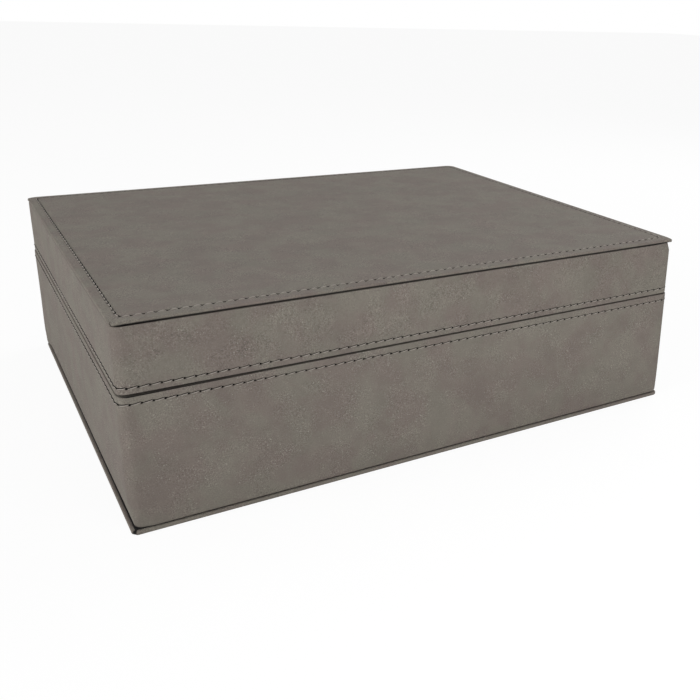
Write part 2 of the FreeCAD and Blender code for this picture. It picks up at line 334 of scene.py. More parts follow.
class Outline:
    """Rounded rectangle seen from above, followed anticlockwise from a right-hand corner."""

    def __init__(self, half_x, half_y, radius):
        self.half = np.array([half_x, half_y])
        self.radius = radius
        self.straight = 2 * (self.half - radius)
        self.quarter = math.pi * radius / 2
        self.length = 4 * self.quarter + 2 * self.straight.sum()

    def starts(self):
        """Length at which each corner and each side starts, in turn."""
        runs = [self.quarter, self.straight[0], self.quarter, self.straight[1]] * 2
        return np.concatenate([[0], np.cumsum(runs)])

    def lines(self, where):
        """Corner centres or side points, and outward directions, at lengths along it."""
        starts = self.starts()
        step = np.clip(np.searchsorted(starts, where, side="right") - 1, 0, 7)
        past = where - starts[step]
        corner = step // 2
        on_side = step % 2 == 1
        angle = np.where(on_side, (corner + 1) * math.pi / 2,
                         corner * math.pi / 2 + past / self.radius)
        signs = np.array([(1, 1), (-1, 1), (-1, -1), (1, -1)])[corner]
        centre = signs * (self.half - self.radius)
        forward = np.stack([-np.sin(angle), np.cos(angle)], axis=1)
        centre = centre + forward * np.where(on_side, past, 0)[:, None]
        return centre, np.stack([np.cos(angle), np.sin(angle)], axis=1)

    def place(self, where, depth):
        """Points at a depth inside the outline: one row for each row of depths."""
        centre, outward = self.lines(where)
        reach = np.maximum(self.radius - depth, 0)[..., None]
        limit = np.maximum(self.half - depth[..., None], 0)
        return np.clip(centre + reach * outward, -limit, limit)

    def follow(self, points):
        """Length along the outline and distance outside it, for points near it."""
        flat = self.half - self.radius
        core = np.clip(points, -flat, flat)
        away = points - core
        distance = np.linalg.norm(away, axis=-1) - self.radius
        starts = self.starts()
        beside_y = np.abs(points[..., 0]) < flat[0]
        beside_x = ~beside_y & (np.abs(points[..., 1]) < flat[1])
        back = away[..., 1] > 0
        right = away[..., 0] > 0
        along_y = np.where(back, starts[1] + flat[0] - points[..., 0],
                           starts[5] + flat[0] + points[..., 0])
        along_x = np.where(right, starts[7] + flat[1] + points[..., 1],
                           starts[3] + flat[1] - points[..., 1])
        corner = np.where(right, np.where(back, 0, 3), np.where(back, 1, 2))
        angle = np.arctan2(away[..., 1], away[..., 0]) % (2 * math.pi)
        turned = (angle - corner * math.pi / 2) * self.radius
        along_corner = starts[2 * corner] + np.clip(turned, 0, self.quarter)
        along = np.where(beside_y, along_y, np.where(beside_x, along_x, along_corner))
        return along, distance

    def corner_middles(self):
        """Lengths of the corners' middles, from the back right one to the front right one."""
        return self.starts()[:8:2] + self.quarter / 2


class Section:
    """Cut through a cover: depths inside the outline, heights and outward slopes."""

    def __init__(self):
        self.points = []

    def through(self, places, slope):
        """Points at given depths and heights."""
        self.points += [(depth, height, *slope) for depth, height in places]

    def line(self, start, end, steps, slope):
        """Straight stretch. Its last point is left to the next stretch."""
        self.through([(start[0] + share * (end[0] - start[0]),
                       start[1] + share * (end[1] - start[1]))
                      for share in np.linspace(0, 1, steps, endpoint=False)], slope)

    def arc(self, centre, radius, start, end, steps):
        """Rounding about a centre. Its last point is left to the next stretch."""
        for share in np.linspace(0, 1, steps, endpoint=False):
            angle = math.radians(start + share * (end - start))
            slope = (math.cos(angle), math.sin(angle))
            self.through([(centre[0] + radius * slope[0], centre[1] + radius * slope[1])],
                         slope)

    def columns(self):
        """Depths, heights and slopes as upright arrays."""
        return [part[:, None] for part in np.array(self.points).T]


def graded(start, end, middle, fine, coarse, growth):
    """Values from start to end, close together near the middle value."""
    values = [start]
    while values[-1] < end:
        away = abs(values[-1] - middle)
        values.append(values[-1] + min(coarse, fine + growth * max(0, away - 4 * fine)))
    values = np.array(values)
    return start + (values - start) * (end - start) / (values[-1] - start)


def sweep(name, places, heights, ring_closed):
    """Object whose rows of points run round the box."""
    rows, columns = heights.shape
    vertices = np.concatenate([places, heights[..., None]], axis=2).reshape(-1, 3)
    row_count = rows if ring_closed else rows - 1
    row, column = np.meshgrid(np.arange(row_count), np.arange(columns), indexing="ij")
    above, beside = (row + 1) % rows, (column + 1) % columns
    corners = [row * columns + column, row * columns + beside,
               above * columns + beside, above * columns + column]
    faces = np.stack(corners, axis=2).reshape(-1, 4)
    return mesh_object(name, vertices.tolist(), faces.tolist())


def bell(distance, width):
    """Smooth bump, one at no distance."""
    return np.exp(-(distance / width) ** 2)


def slow_waves(along, across, height):
    """Uneven pull of the cover over long stretches, never outside its plain face."""
    waves = (np.sin(along / 0.031 + 1.3 * np.sin(across / 0.023))
             + 0.7 * np.sin(along / 0.017 - across / 0.029 + 2.1)
             + 0.5 * np.sin(across / 0.013 + along / 0.053 + 0.6))
    return height * (waves / 2 - 1.1)


def from_hole(along, pitch):
    """Distance to the nearest needle hole."""
    return (along + pitch / 2) % pitch - pitch / 2


def seam_pull(along, across, pitch, sizes):
    """How far a sewn row moves the leatherette outwards."""
    near_hole = from_hole(along, pitch)
    groove = -sizes.groove * bell(across, 0.36 * MM)
    pinch = -sizes.pinch * bell(near_hole, 0.65 * MM) * bell(across, 0.5 * MM)
    ripple = np.cos(2 * math.pi * near_hole / pitch) * -sizes.pucker
    pucker = ripple * np.exp(-np.abs(across) / (0.9 * MM)) * (1 - bell(across, 0.35 * MM))
    return groove + pinch + pucker


def hole_shade(along, across, pitch):
    """Painted shade round the needle holes."""
    return 0.6 * bell(across, 0.4 * MM) * bell(from_hole(along, pitch), SEAM_MARK)


def set_shade(thing, values):
    """Store each point's painted shade, with the darkening of mitres and joints."""
    shade = thing.data.attributes.new("seam_shade", "FLOAT", "POINT")
    shade.data.foreach_set("value", values.astype(np.float32).ravel())


def own(sizes, body, part):
    """Size that the base and the lid have each for themselves."""
    return getattr(sizes, f"{body}_{part}")


def wall_section(height, leather, core, row_height, body, sizes):
    """Cut through a wall cover: foot at height 0, outer face, rim, turn-in, back inside."""
    shoulder, rim, lip, foot = (own(sizes, body, part)
                                for part in ("shoulder", "rim", "lip", "foot"))
    inner_rim, reach = sizes.wall_inner_rim, sizes.lip_reach
    ramp_end = (1 + LIP_RAMP) * reach
    inside = leather + core
    turned = inside + leather
    lip_level, low_end = height - lip, height - sizes.turn_in
    bend = leather + 0.4 * MM
    cut = Section()
    cut.through([(inside, 0), (ramp_end, 0), (reach, foot)], (0, -1))
    cut.arc((shoulder, foot + shoulder), shoulder, -90, -180, 6)
    face = graded(foot + shoulder, lip_level - rim, row_height, 0.26 * MM, 4 * MM, 0.15)
    cut.through([(0, place) for place in face[:-1]], (-1, 0))
    cut.arc((rim, lip_level - rim), rim, 180, 90, 7)
    cut.through([(rim, lip_level), (reach, lip_level)], (0, 1))
    cut.line((ramp_end, height), (turned - inner_rim, height), 2, (0, 1))
    cut.arc((turned - inner_rim, height - inner_rim), inner_rim, 90, 0, 4)
    cut.line((turned, height - inner_rim), (turned, low_end), 3, (1, 0))
    outer_rows = len(cut.points)
    cut.through([(turned, low_end), (inside, low_end), (inside, height - inner_rim),
                 (turned - inner_rim, height - leather), (bend, height - leather),
                 (leather, height - bend), (leather, bend), (bend, leather),
                 (inside, leather)], STILL)
    return cut.columns(), outer_rows


def wall_row(body, covers, seams):
    """Outline that a wall's sewn row follows, its count of stitches, pitch and first hole."""
    _, high = span(f"{body}_wall_wrap")
    outline = Outline(high[0], high[1], covers.wall_corner)
    stitches = round(outline.length / own(seams, body, "pitch"))
    pitch = outline.length / stitches
    front_middle = outline.starts()[5] + outline.straight[0] / 2
    return outline, stitches, pitch, (front_middle + own(seams, body, "hole")) % pitch


def drawn_in(body, along, level, outline, sizes):
    """How far a wall's foot is drawn in: the base at its left, the lid under its tip."""
    if body == "lid":
        tip = outline.corner_middles()[3]
        return sizes.tip_draw * bell(along - tip, 9 * MM) * bell(level, 2.3 * MM)
    past = along - outline.corner_middles()[2]
    side_length = outline.straight[1] + outline.quarter
    from_back = past + side_length
    side = (1 + 0.4 * past / side_length) * np.clip(from_back / (10 * MM), 0, 1)
    share = np.clip(np.where(past < 0, side, 1 - past / (8 * MM)), 0, 1)
    bulge = sizes.corner_bulge * bell(from_back, 9 * MM) * bell(level, 26 * MM)
    return sizes.foot_draw * share * bell(level, 9 * MM) - bulge


def pared_wall(body, side, outline, sizes):
    """Copy of a wall whose outer foot is pared back where the cover is drawn in."""
    low, high = span(f"{body}_wall_wrap")
    foot, upward, rows = (low[2], 1, 1.5) if body == "base" else (high[2], -1, 0.6)
    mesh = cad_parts[f"{body}_{side}_wall"].data.copy()
    work = bmesh.new()
    work.from_mesh(mesh)
    bmesh.ops.remove_doubles(work, verts=work.verts, dist=MERGE_DISTANCE)
    steps = [(2, foot + upward * step * rows * MM) for step in range(1, 15)]
    steps += [(axis, edge * (outline.half[axis] - away * MM)) for axis in (0, 1)
              for edge in (-1, 1) for away in (8, 12, 20)]
    for axis, place in steps:
        facing = Vector([float(index == axis) for index in range(3)])
        bmesh.ops.bisect_plane(work, geom=work.verts[:] + work.edges[:] + work.faces[:],
                               plane_co=facing * float(place), plane_no=facing)
    points = np.array([vertex.co for vertex in work.verts])
    along, outside = outline.follow(points[:, :2])
    draw = drawn_in(body, along, upward * (points[:, 2] - foot), outline, sizes)
    points[:, :2] = np.where((outside > -2 * MM)[:, None],
                             outline.place(along, draw - outside), points[:, :2])
    for vertex, point in zip(work.verts, points):
        vertex.co = point
    work.to_mesh(mesh)
    work.free()
    return link(bpy.data.objects.new(f"{body}_{side}_pared_wall", mesh))


def rounded_edge(depth, drop, radius):
    """Depths and drops of points at an outer edge, brought back onto its rounding."""
    beside, above = radius - depth, radius - drop
    reach = np.maximum(np.hypot(beside, above), MERGE_DISTANCE)
    outside = (beside > 0) & (above > 0) & (reach > radius)
    share = np.where(outside, radius / reach, 1)
    return radius - beside * share, radius - above * share


def from_corner(along, depth, outline):
    """Distance to the middle of the nearest corner, at a depth inside the outline."""
    gap = np.min(np.abs(along[..., None] - outline.corner_middles()), axis=-1)
    half_arc = outline.quarter / 2
    kept_arc = np.clip(1 - depth / outline.radius, 0, 1)
    beyond = np.maximum(depth - outline.radius, 0)
    return np.where(gap < half_arc, gap * kept_arc,
                    np.maximum(gap - half_arc * (1 - kept_arc) - beyond, 0))


def wall_cover(body, sizes, seams):
    """Leatherette round the walls, with its sewn row, mitred rim corners and back joint."""
    turned_over = body == "lid"
    low, high = span(f"{body}_wall_wrap")
    core_low, core_high = span(f"{body}_right_wall")
    row_low, row_high = span(f"{body}_wall_stitching")
    height = high[2] - low[2]
    row = (row_low[2] + row_high[2]) / 2
    row_height = high[2] - row if turned_over else row - low[2]
    outline, stitches, pitch, first_hole = wall_row(body, sizes, seams)
    columns = np.arange(COLUMNS_PER_STITCH * stitches) * pitch / COLUMNS_PER_STITCH
    where = (first_hole + columns) % outline.length
    (depth, level, slope_in, slope_up), outer_rows = wall_section(
        height, high[0] - core_high[0], core_high[0] - core_low[0], row_height, body, sizes)

    along, across, to_rim = where[None, :], level - row_height, height - level
    outward = outline.lines(where)[1]
    in_front = np.clip(-outward[:, 1], 0, 1) ** 2
    on_left = np.clip(-outward[:, 0], 0, 1) ** 2
    at_back = np.clip((outward[:, 1] - BACK_START) / (1 - BACK_START), 0, 1)
    front_left, front_right = outline.corner_middles()[2:]
    back_middle = outline.starts()[1] + outline.straight[0] / 2
    rim = own(sizes, body, "rim")
    face = (np.arange(len(depth)) < outer_rows)[:, None]
    upright = np.abs(slope_in) * (depth <= rim)
    at_face = np.clip(1 - depth / sizes.lip_reach, 0, 1)
    on_rim = np.clip(slope_up, 0, 1) * (level > height / 2)
    lip_start = height - own(sizes, body, "lip") - rim - MERGE_DISTANCE
    on_lip = face * (level > lip_start) * np.clip(
        (1 + LIP_RAMP - depth / sizes.lip_reach) / LIP_RAMP, 0, 1)

    pull = seam_pull(along - first_hole, across, pitch, seams)
    pull = pull + seams.roll * bell(to_rim - (height - row_height) / 2, 1.1 * MM)
    pull = pull + slow_waves(along, across, sizes.waviness)
    mitre = bell(from_corner(along, depth, outline), SEAM_MARK) * on_rim
    joint = bell(along - back_middle, SEAM_MARK) * upright
    shift = face * (pull * upright - 0.22 * MM * mitre - 0.25 * MM * joint)
    full = own(sizes, body, "fullness") * (1 - 0.5 * bell(level, height / 8))
    full = full * (1 - at_back * np.clip(1.7 - to_rim / (2.5 * MM), 0, 1))
    depths = depth + shift * slope_in - full * face * at_face
    depths = depths + drawn_in(body, along, level, outline, sizes) * at_face
    wear_and_shade_fade = np.exp(-np.maximum(along - front_left, 0) / WEAR_AND_SHADE_FADE)
    back = sizes.worn_lip * wear_and_shade_fade
    back = back * 0.3 if turned_over else back + sizes.front_lip
    closing = sizes.left_lip * on_left - back * in_front
    levels = level + shift * slope_up + closing * on_lip
    depths, drops = rounded_edge(depths, height - levels, sizes.back_rim * at_back)
    heights = high[2] - height + drops if turned_over else low[2] + height - drops
    cover = sweep(f"{body}_wall_cover", outline.place(where, depths), heights, True)

    # Painted shade round the needle holes; the mitres and the back joint are darkened by half.
    shade = hole_shade(along - first_hole, across, pitch) * upright
    shade = np.maximum(shade, 0.5 * np.maximum(mitre, joint))
    # Painted shade in the parting gap, on the outer part of each lip, strongest in front and
    # towards the front left corner.
    near_edge = np.clip((2.2 * MM - depth) / (0.6 * MM), 0, 1) * (slope_up > 0.35)
    rim_shade = 0.1 + 0.9 * in_front * (0.45 + 0.55 * wear_and_shade_fade)
    shade = np.maximum(shade, rim_shade * on_lip * near_edge)
    # Painted shade in the crease at the board and on the downward-facing shoulder: above the
    # bottom board, wider at the left; under the top board, mostly in front and near the tips.
    crease = own(sizes, body, "crease") * (1 + (0.15 if turned_over else 1.4 * on_left))
    edge = np.maximum(np.clip(1.5 - level / crease, 0, 1), np.clip(-4 * slope_up - 2, 0, 1))
    edge = edge * (level < height / 2)
    if turned_over:
        tips = bell(along - front_left, 25 * MM) + 2 * bell(along - front_right, 15 * MM)
        edge = edge * np.minimum(0.2 + in_front * (0.45 + 0.35 * tips), 1)
    set_shade(cover, np.maximum(shade, edge) * face)
    return closed_and_outward(cover)


def hinge_cutter():
    """Prism through both back rims at each hinge, where the leaves and the barrel lie."""
    leaf_low, leaf_high = span("left_hinge_base_leaf")
    pin_low, pin_high = span("left_hinge_pin")
    pivot = (pin_low + pin_high) / 2
    fit, clearance, drop = 0.1 * MM, 0.25 * MM, 1.05 * MM
    barrel = leaf_high[1] - pivot[1] + clearance
    start = math.degrees(math.asin(drop / barrel))
    lower = [(leaf_low[1] - fit, -drop)] + [
        (pivot[1] + barrel * math.cos(angle), barrel * math.sin(angle))
        for angle in np.radians(np.linspace(180 + start, 360, 12))]
    loop = lower + [(y, -z) for y, z in reversed(lower[:-1])]
    count = len(loop)
    half = (leaf_high[0] - leaf_low[0]) / 2 + fit
    vertices, faces = [], []
    for middle in (-abs(pivot[0]), abs(pivot[0])):
        near = [len(vertices) + corner for corner in range(count)]
        far = [corner + count for corner in near]
        vertices += [(x, y, pivot[2] + z) for x in (middle - half, middle + half)
                     for y, z in loop]
        faces += [near, far[::-1]]
        faces += [[near[i], far[i], far[(i + 1) % count], near[(i + 1) % count]]
                  for i in range(count)]
    return closed_and_outward(mesh_object("hinge_cutter", vertices, faces))


def let_in_hinges(cover, cutter):
    """Cut the hinge recesses out of a cover."""
    cut = cover.modifiers.new("Hinge recess", "BOOLEAN")
    cut.operation = "DIFFERENCE"
    cut.solver = "EXACT"
    cut.object = cutter
    as_evaluated(cover)


def board_section(half_y, window, thickness, core_thickness, edge, hidden, rings):
    """Cut through a board cover: outer face at height 0 downwards to the turned-in side."""
    leather = (thickness - core_thickness) / 2
    under = leather - thickness
    bend = 0.4 * core_thickness
    cut = Section()
    cut.through([(ring, 0) for ring in rings], (0, 1))
    cut.arc((edge, -edge), edge, 90, 180, 6)
    cut.line((0, -edge), (0, hidden - thickness), 2, (-1, 0))
    cut.arc((hidden, hidden - thickness), hidden, 180, 270, 5)
    cut.through([(ring, -thickness) for ring in (hidden, 1.1 * MM, 1.6 * MM, window / 2)],
                (0, -1))
    outer_rows = len(cut.points)
    cut.through([(window, -thickness)], STILL)
    cut.line((window, under), (leather + bend, under), 2, STILL)
    cut.through([(leather + bend, under), (leather, under + bend),
                 (leather, -leather - bend), (leather + bend, -leather),
                 (half_y / 4, -leather), (half_y, -leather)], STILL)
    return cut.columns(), outer_rows


def board_stations(outline):
    """Lengths of the columns of a board cover, close together at the corners."""
    starts = outline.starts()
    parts = []
    for index in range(8):
        run = starts[index + 1] - starts[index]
        steps = 2 * round(run / BOARD_COLUMN / 2) if index % 2 else CORNER_COLUMNS
        parts.append(starts[index] + np.arange(steps) * run / steps)
    return np.concatenate(parts)


def corner_folds(along, share_down, outline, edge_rows, folds, sizes):
    """Folds where the leatherette is gathered at the corners of a board, with painted shade in
    them.
    """
    shift = np.zeros(np.broadcast_shapes(along.shape, edge_rows.shape))
    shade = shift.copy()
    for middle, (depth, width, slant, dark) in zip(outline.corner_middles(), folds):
        away = along - middle - slant * MM * (share_down - 0.5)
        fold = np.exp(-(away / (width * sizes.fold_width)) ** 4) * edge_rows
        shift -= sizes.fold_depth * depth * fold
        shade = np.maximum(shade, dark * fold)
    return shift, shade


def board_row_path(seams):
    """Path of the sewn row of the top board, its centre and its true pitch."""
    low, high = span("lid_board_stitching")
    half = (high - low) / 2 - ROW_WIDTH / 2
    path = Outline(half[0], half[1], ROW_CORNER)
    centre = ((high + low) / 2)[:2]
    return path, centre, path.length / round(path.length / seams.board_pitch)


def board_cover(body, crease, sizes, seams):
    """Leatherette round a board, turned in on the side of the room."""
    up = body == "lid"
    low, high = span(f"{body}_board_wrap")
    core_low, core_high = span(f"{body}_board")
    window = span("lid_board_wrap")[1][0] - span("lid_ceiling_pad")[1][0]
    thickness, core_thickness = high[2] - low[2], core_high[2] - core_low[2]
    rings = np.array([high[1] / MM, *RINGS[body]]) * MM
    edge = own(sizes, body, "board_edge")
    outline = Outline(high[0], high[1], sizes.board_corner if up else sizes.base_board_corner)
    where = board_stations(outline)
    (depth, level, slope_in, slope_up), outer_rows = board_section(
        high[1], window, thickness, core_thickness, edge, sizes.hidden_edge, rings)
    row_number = np.arange(len(depth))[:, None]
    face, on_top = row_number < outer_rows, row_number < len(rings)
    flat = outline.place(where, np.repeat(depth, len(where), axis=1))
    shift, shade = corner_folds(where[None, :], np.clip(-level / thickness, 0, 1), outline,
                                face * (depth < 1.2 * edge), FOLDS[body], sizes)
    shift = shift + on_top * slow_waves(flat[..., 0], flat[..., 1], sizes.waviness)
    if up:
        path, centre, pitch = board_row_path(seams)
        along, across = path.follow(flat - centre)
        pull = seam_pull(along, across, pitch, seams)
        strip = bell(depth - 3.0 * MM, 1.6 * MM)
        shift = shift + on_top * (pull + 0.5 * seams.roll * strip)
        shade = np.maximum(shade, hole_shade(along, across, pitch) * on_top)
    # Painted shade under the top board's edge and up its lower rounding, mostly in front, and
    # on the bottom board's top where the wall hides it.
    crease_height, crease_depth = crease
    under = (np.clip(1.5 - (level + thickness) / crease_height, 0, 1)
             * np.clip((depth - crease_depth) / (0.4 * MM), 0, 1))
    in_front = np.clip(-outline.lines(where)[1][:, 1], 0, 1) ** 2
    shade = np.maximum(shade, under * face * (0.2 + 0.8 * in_front if up else 1))
    depths = depth + shift * slope_in
    levels = level + shift * slope_up
    if up:
        tip = np.linalg.norm(np.abs(flat) - outline.half, axis=-1)
        levels = levels - sizes.tip_droop * bell(tip, 3.2 * MM)
    heights = np.clip(high[2] + levels if up else low[2] - levels, low[2], high[2])
    cover = sweep(f"{body}_board_cover", outline.place(where, depths), heights, False)
    set_shade(cover, np.broadcast_to(shade, heights.shape))
    return closed_and_outward(cover)


class Graph:
    """Node tree that is being built."""

    def __init__(self, tree):
        self.tree = tree

    def feed(self, made, inputs):
        """Link or set a node's inputs by name or place."""
        for key, value in inputs.items():
            if isinstance(value, bpy.types.Node):
                value = value.outputs[0]
            if isinstance(value, bpy.types.NodeSocket):
                self.tree.links.new(value, made.inputs[key])
            else:
                made.inputs[key].default_value = value
        return made

    def node(self, kind, inputs=None, **settings):
        """Node with its settings and its inputs."""
        made = self.tree.nodes.new(kind)
        for key, value in settings.items():
            setattr(made, key, value)
        return self.feed(made, inputs or {})

    def number(self, operation, *terms):
        """Result of a sum on one, two or three numbers."""
        return self.node("ShaderNodeMath", dict(enumerate(terms)),
                         operation=operation).outputs[0]

    def product(self, first, second):
        """One number times another."""
        return self.number("MULTIPLY", first, second)

    def arrow(self, operation, first, second):
        """Vector result of a vector sum."""
        key = "Scale" if operation == "SCALE" else 1
        return self.node("ShaderNodeVectorMath", {0: first, key: second},
                         operation=operation).outputs[0]


def sewn_row_tree():
    """Thread between needle holes on a rounded rectangle, with near-black painted shadow and
    holes.
    """
    tree = bpy.data.node_groups.new("sewn_row", "GeometryNodeTree")
    for way in ("INPUT", "OUTPUT"):
        tree.interface.new_socket("Geometry", in_out=way, socket_type="NodeSocketGeometry")
    for kind, labels in ROW_INPUTS.items():
        for label in labels:
            tree.interface.new_socket(label, in_out="INPUT",
                                      socket_type="NodeSocket" + kind)
    graph = Graph(tree)
    node, number, product, arrow = graph.node, graph.number, graph.product, graph.arrow
    given = node("NodeGroupInput").outputs

    rectangle = node("GeometryNodeCurvePrimitiveQuadrilateral",
                     {0: given["Width"], 1: given["Depth"]}, mode="RECTANGLE")
    rounded = node("GeometryNodeFilletCurve", {
        "Curve": rectangle, "Radius": given["Corner"], "Count": 24}, mode="POLY")
    path = node("GeometryNodeTransform",
                {"Geometry": rounded, "Translation": given["Centre"]})
    count = product(given["Stitches"], float(STITCH_POINTS))
    fine = node("GeometryNodeResampleCurve", {"Curve": path, "Count": count})
    index = node("GeometryNodeInputIndex")
    whole = node("GeometryNodeCurveLength", {0: path})
    distance = product(number("DIVIDE", index, count), whole)
    distance = number("ADD", distance, given["First hole"])
    spot = node("GeometryNodeSampleCurve", {
        "Curves": path, "Length": number("MODULO", distance, whole)},
        mode="LENGTH").outputs["Position"]
    laid = node("GeometryNodeSetPosition", {"Geometry": fine, "Position": spot})

    step = number("DIVIDE", index, float(STITCH_POINTS))
    phase = number("FRACT", step)
    tangent = node("GeometryNodeInputTangent")
    sideways = arrow("CROSS_PRODUCT", tangent, UP)
    facing = node("GeometryNodeSwitch", {
        "Switch": given["On the board"], "False": sideways, "True": UP},
        input_type="VECTOR")
    across = arrow("CROSS_PRODUCT", facing, tangent)
    uneven = node("FunctionNodeRandomValue", {
        "Min": (-1.0, -1.0, -1.0), "Max": (1.0, 1.0, 1.0),
        "ID": number("FLOOR", step), "Seed": 7}, data_type="FLOAT_VECTOR")
    jitter = node("ShaderNodeSeparateXYZ", {0: uneven}).outputs
    free = number("MULTIPLY_ADD", phase, 1 / STRAND_SHARE, -STRAND_START / STRAND_SHARE)
    free = number("MINIMUM", number("MAXIMUM", free, 0.0), 1.0)
    arch = number("SINE", product(number("POWER", free, 1.35), math.pi))
    arch = number("POWER", number("MAXIMUM", arch, 0.0), 0.6)
    swing = number("MULTIPLY_ADD", jitter[0], given["Unevenness"],
                   number("ADD", given["Rise"], given["Dip"]))
    lift = number("SUBTRACT", product(arch, swing), given["Dip"])
    lift = number("ADD", lift, given["Stand-off"])
    tilt = number("MULTIPLY_ADD", jitter[1], given["Unevenness"], given["Slant"])
    side = product(number("SUBTRACT", phase, 0.5), tilt)

    def moved(outwards, along_face):
        """Points of the row moved off the face and across it."""
        offset = arrow("ADD", arrow("SCALE", facing, outwards),
                       arrow("SCALE", across, along_face))
        return node("GeometryNodeSetPosition", {"Geometry": laid, "Offset": offset})

    def tube(curve, corners, radius, scale, finish):
        """Closed tube along a curve, with its finish."""
        cut = node("GeometryNodeCurvePrimitiveCircle",
                   {"Resolution": corners, "Radius": radius}, mode="RADIUS")
        mesh = node("GeometryNodeCurveToMesh", {
            "Curve": curve, "Profile Curve": cut, "Fill Caps": True, "Scale": scale})
        return node("GeometryNodeSetMaterial", {"Geometry": mesh, "Material": given[finish]})

    radius = product(given["Thread"], 0.5)
    thin = number("MULTIPLY_ADD", arch, 0.45, 0.55)
    thread = tube(moved(lift, side), 6, radius, thin, "Thread finish")

    # Thin near-black tube along the upper side of each strand: painted shadow where the thread
    # lies in the leatherette.
    half_crease = product(given["Crease"], 0.5)
    sunk_line = product(number("SUBTRACT", arch, 0.95), given["Crease"])
    beside = number("ADD", number("ADD", side, radius), half_crease)
    outwards = node("ShaderNodeSeparateXYZ", {0: sideways})
    leftwards = number("MAXIMUM", product(outwards, -1.0), 0.0)
    wider = number("MULTIPLY_ADD", leftwards, given["Left crease"], 1.0)
    pressed = moved(number("ADD", sunk_line, given["Stand-off"]), beside)
    painted_shadow_line = tube(pressed, 4, half_crease, wider, "Hole finish")

    # Near-black beads sunk at the needle holes: painted shade inside the holes.
    bead = node("GeometryNodeMeshUVSphere", {"Segments": 8, "Rings": 5, "Radius": 0.5})
    scale = node("ShaderNodeCombineXYZ", {
        0: given["Hole length"], 1: given["Hole width"],
        2: product(given["Hole width"], 0.5)})
    hole = node("GeometryNodeTransform", {"Geometry": bead, "Scale": scale})
    at_hole = number("COMPARE", number("MODULO", index, float(STITCH_POINTS)), 0.0, 0.1)
    turned = node("FunctionNodeAlignRotationToVector", {"Vector": tangent}, axis="X")
    upright = node("FunctionNodeAlignRotationToVector", {
        "Rotation": turned, "Vector": facing}, axis="Z", pivot_axis="X")
    holes = node("GeometryNodeInstanceOnPoints", {
        "Points": laid, "Selection": at_hole, "Instance": hole, "Rotation": upright})
    depth = number("MULTIPLY_ADD", given["Dip"], -0.8, given["Stand-off"])
    sunk = node("GeometryNodeTranslateInstances", {
        "Instances": holes, "Translation": node("ShaderNodeCombineXYZ", {2: depth}),
        "Local Space": True})
    dark = node("GeometryNodeSetMaterial", {
        "Geometry": node("GeometryNodeRealizeInstances", {"Geometry": sunk}),
        "Material": given["Hole finish"]})

    both = node("GeometryNodeJoinGeometry")
    for part in (thread, painted_shadow_line, dark):
        tree.links.new(part.outputs[0], both.inputs[0])
    smooth = node("GeometryNodeSetShadeSmooth", {"Geometry": both})
    node("NodeGroupOutput", {0: smooth})
    return tree


def run_tree(name, tree, values):
    """Plain mesh object that a geometry node tree makes from its named inputs."""
    made = link(bpy.data.objects.new(name, bpy.data.meshes.new(name)))
    modifier = made.modifiers.new(tree.name, "NODES")
    modifier.node_group = tree
    for socket in tree.interface.items_tree:
        if socket.item_type == "SOCKET" and socket.in_out == "INPUT" and socket.name in values:
            modifier[socket.identifier] = values[socket.name]
    return as_evaluated(made)


def grid_lines(low, high, edge, cell):
    """Places of grid lines from low to high, with close ones in both rounded edges."""
    bend = edge * np.array([0, 0.3, 0.65, 1])
    middle_cells = max(1, round((high - low - 2 * edge) / cell))
    middle = np.linspace(low + edge, high - edge, middle_cells + 1)[1:-1]
    return np.concatenate([low + bend, middle, high - bend[::-1]])


def soft_block(name, low, high, edge, cell):
    """Closed block with rounded edges and a grid on every face."""
    lines = [grid_lines(low[axis], high[axis], edge, cell) for axis in range(3)]
    last = [len(line) - 1 for line in lines]
    places, faces = {}, []
    for axis in range(3):
        one, two = (axis + 1) % 3, (axis + 2) % 3
        for end in (0, last[axis]):
            for first in range(last[one]):
                for second in range(last[two]):
                    loop = []
                    for step in ((0, 0), (1, 0), (1, 1), (0, 1)):
                        key = [0, 0, 0]
                        key[axis], key[one], key[two] = end, first + step[0], second + step[1]
                        loop.append(places.setdefault(tuple(key), len(places)))
                    faces.append(loop if end else loop[::-1])
    points = np.array([[lines[axis][key[axis]] for axis in range(3)] for key in places])
    inner = np.clip(points, low + edge, high - edge)
    away = points - inner
    reach = np.linalg.norm(away, axis=1, keepdims=True)
    points = inner + away * edge / np.maximum(reach, 1e-9)
    return mesh_object(name, points.tolist(), faces)


def crown(points, low, high, axis, sign, swell):
    """Swell the face that looks along an axis, most in its middle."""
    middle, half = (low + high) / 2, (high - low) / 2
    share = np.clip((points - middle) / half, -1, 1)
    dome = np.ones(len(points))
    for other in range(3):
        if other != axis:
            dome *= 1 - np.abs(share[:, other]) ** 6
    facing = np.clip(share[:, axis] * sign, 0, 1)
    moved = points.copy()
    moved[:, axis] += sign * swell * dome * facing
    return moved


def read_points(mesh):
    """Vertex places as an array."""
    flat = np.zeros(len(mesh.vertices) * 3)
    mesh.vertices.foreach_get("co", flat)
    return flat.reshape(-1, 3)


def write_points(mesh, points):
    """Set vertex places from an array."""
    mesh.vertices.foreach_set("co", points.ravel())
    mesh.update()


def lining_panel(body, side, material, sizes):
    """Velour panel with turned edges, a little full towards the room."""
    node = f"{body}_{side}_lining"
    low, high = span(node)
    panel = soft_block(f"{body}_{side}_velour", low, high, sizes.edge, 6 * MM)
    points = read_points(panel.data)
    write_points(panel.data, crown(points, low, high, *SIDES[side], sizes.panel_swell))
    finish_piece(closed_and_outward(panel), body, material, [node])


